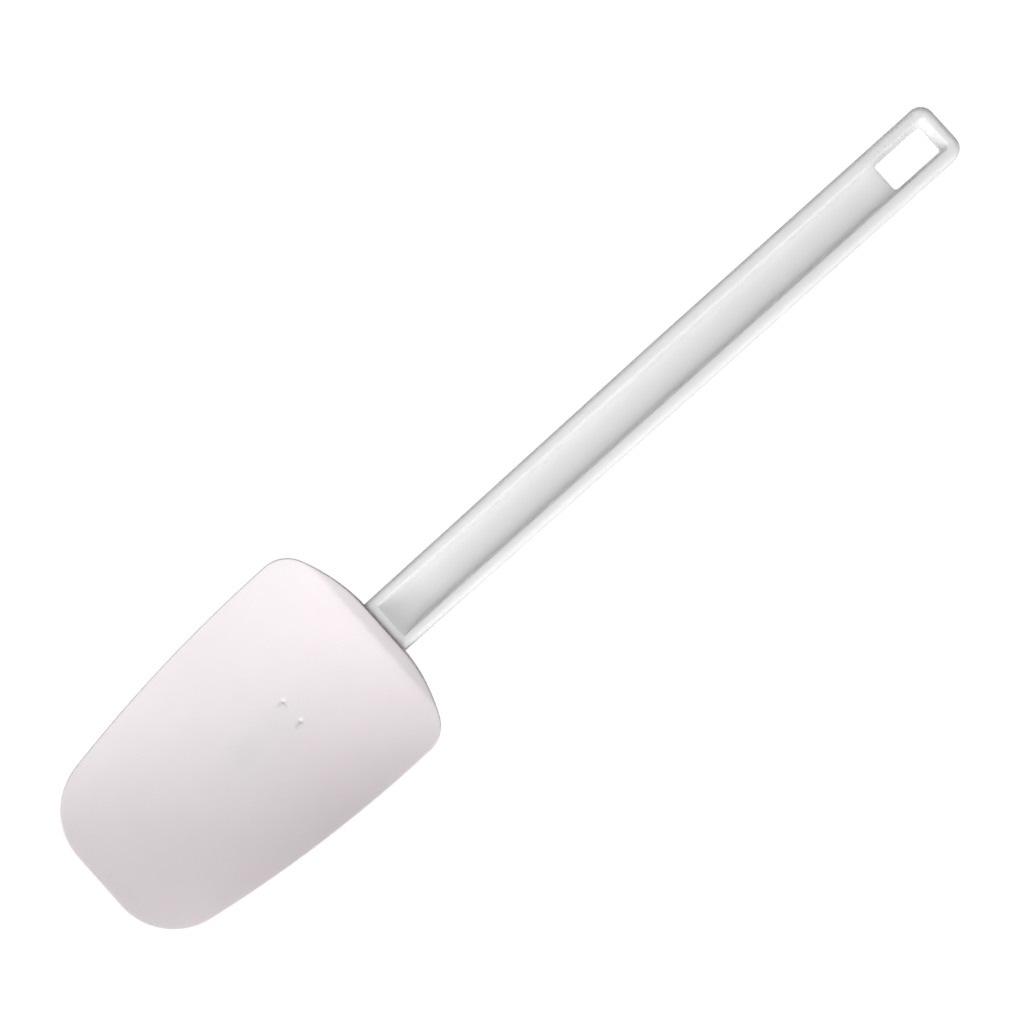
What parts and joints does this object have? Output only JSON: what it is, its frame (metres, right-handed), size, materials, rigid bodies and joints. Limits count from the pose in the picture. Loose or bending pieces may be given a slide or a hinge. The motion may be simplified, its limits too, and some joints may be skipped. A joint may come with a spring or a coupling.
{
  "type": "spatula",
  "caption": "Spoon-shaped kitchen spatula: a dished flexible silicone blade moulded over the tang of a rigid plastic channelled handle with a rectangular hanging hole.",
  "frame": {"origin": "middle of the whole spatula's length and width, on the level of the lowest point of the blade's back", "axes": "+X along the handle towards the hanging hole, so the blade's tip is at minus X; +Z out of the open side of the bowl; Y across, and the spatula is the same on both sides of the XZ plane"},
  "size_m": [0.343, 0.075, 0.0167],
  "materials": {
    "handle_plastic": "satin off-white moulded plastic",
    "silicone": "matte white silicone with a faint warm pink in the shade"
  },
  "bodies": {
    "root": {"handle": "handle_plastic", "blade": "silicone"}
  },
  "joints": []
}
